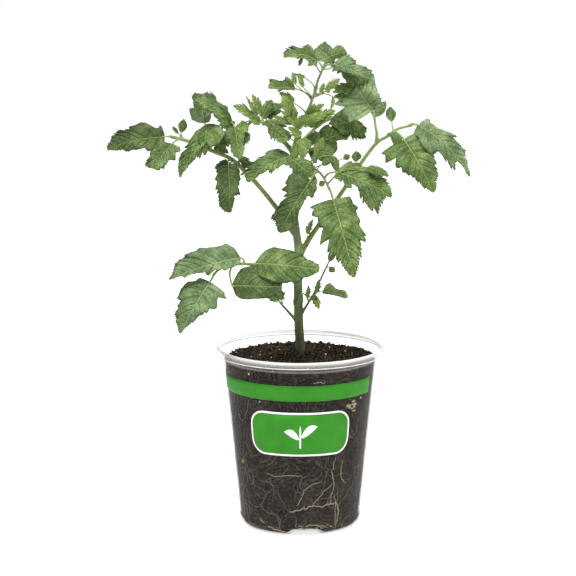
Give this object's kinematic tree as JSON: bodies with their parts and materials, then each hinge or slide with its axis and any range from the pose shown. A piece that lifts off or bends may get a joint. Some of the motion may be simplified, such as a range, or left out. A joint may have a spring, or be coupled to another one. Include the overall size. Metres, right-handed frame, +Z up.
{
  "type": "tomato plant in a pot",
  "caption": "Young tomato plant with toothed compound leaves, standing in potting mix in a clear round nursery pot with a rolled rim.",
  "frame": {"origin": "middle of the pot's flat base, on the surface it stands on", "axes": "+Z up along the pot's axis, -Y towards the viewer, +X to the viewer's right"},
  "size_m": [0.2307, 0.108, 0.3067],
  "materials": {
    "clear_pot": "gloss",
    "potting_mix": "matte",
    "stem": "satin",
    "leaf_stalk": "satin",
    "leaf": "satin",
    "young_leaf": "satin"
  },
  "bodies": {
    "root": {"pot": "clear_pot", "potting_mix": "potting_mix", "main_stem": "stem", "top_leaf_stalk": "leaf_stalk", "left_leaf_stalk": "leaf_stalk", "left_leaf_branch": "leaf_stalk", "right_leaf_stalk": "leaf_stalk", "right_leaf_branch": "leaf_stalk", "front_leaf_stalk": "leaf_stalk", "back_leaf_stalk": "leaf_stalk", "side_shoot_stalk": "leaf_stalk", "low_left_leaf_stalk": "leaf_stalk", "low_right_shoot_stalk": "leaf_stalk", "low_left_shoot_stalk": "leaf_stalk", "left_tip_leaflet": "leaf", "left_outer_leaflet": "leaf", "left_oval_leaflet": "leaf", "left_back_leaflet": "leaf", "left_hanging_leaflet": "leaf", "left_large_leaflet": "leaf", "left_upright_leaflet": "leaf", "left_upper_leaflet": "leaf", "left_inner_leaflet": "leaf", "shoot_left_leaflet": "young_leaf", "shoot_upright_leaflet": "young_leaf", "shoot_right_leaflet": "leaf", "shoot_back_leaflet": "leaf", "crown_left_leaflet": "leaf", "crown_bright_leaflet": "leaf", "crown_front_leaflet": "young_leaf", "crown_right_leaflet": "young_leaf", "back_low_leaflet": "leaf", "front_tip_leaflet": "leaf", "front_left_leaflet": "leaf", "front_right_leaflet": "leaf", "front_upper_leaflet": "young_leaf", "right_tip_leaflet": "leaf", "right_outer_leaflet": "leaf", "right_oval_leaflet": "leaf", "right_round_leaflet": "leaf", "right_lower_leaflet": "leaf", "axil_leaflet": "young_leaf", "right_large_leaflet": "leaf", "top_tip_leaflet": "leaf", "top_left_leaflet": "leaf", "top_right_leaflet": "leaf", "top_under_leaflet": "leaf", "upper_left_leaflet": "leaf", "upper_right_leaflet": "young_leaf", "upper_small_leaflet": "young_leaf", "back_tip_leaflet": "leaf", "back_dark_leaflet": "leaf", "low_right_leaflet": "leaf", "low_middle_leaflet": "leaf", "low_upper_leaflet": "leaf", "low_tip_leaflet": "leaf", "low_shoot_left_leaflet": "young_leaf", "low_shoot_right_leaflet": "leaf"}
  },
  "joints": []
}
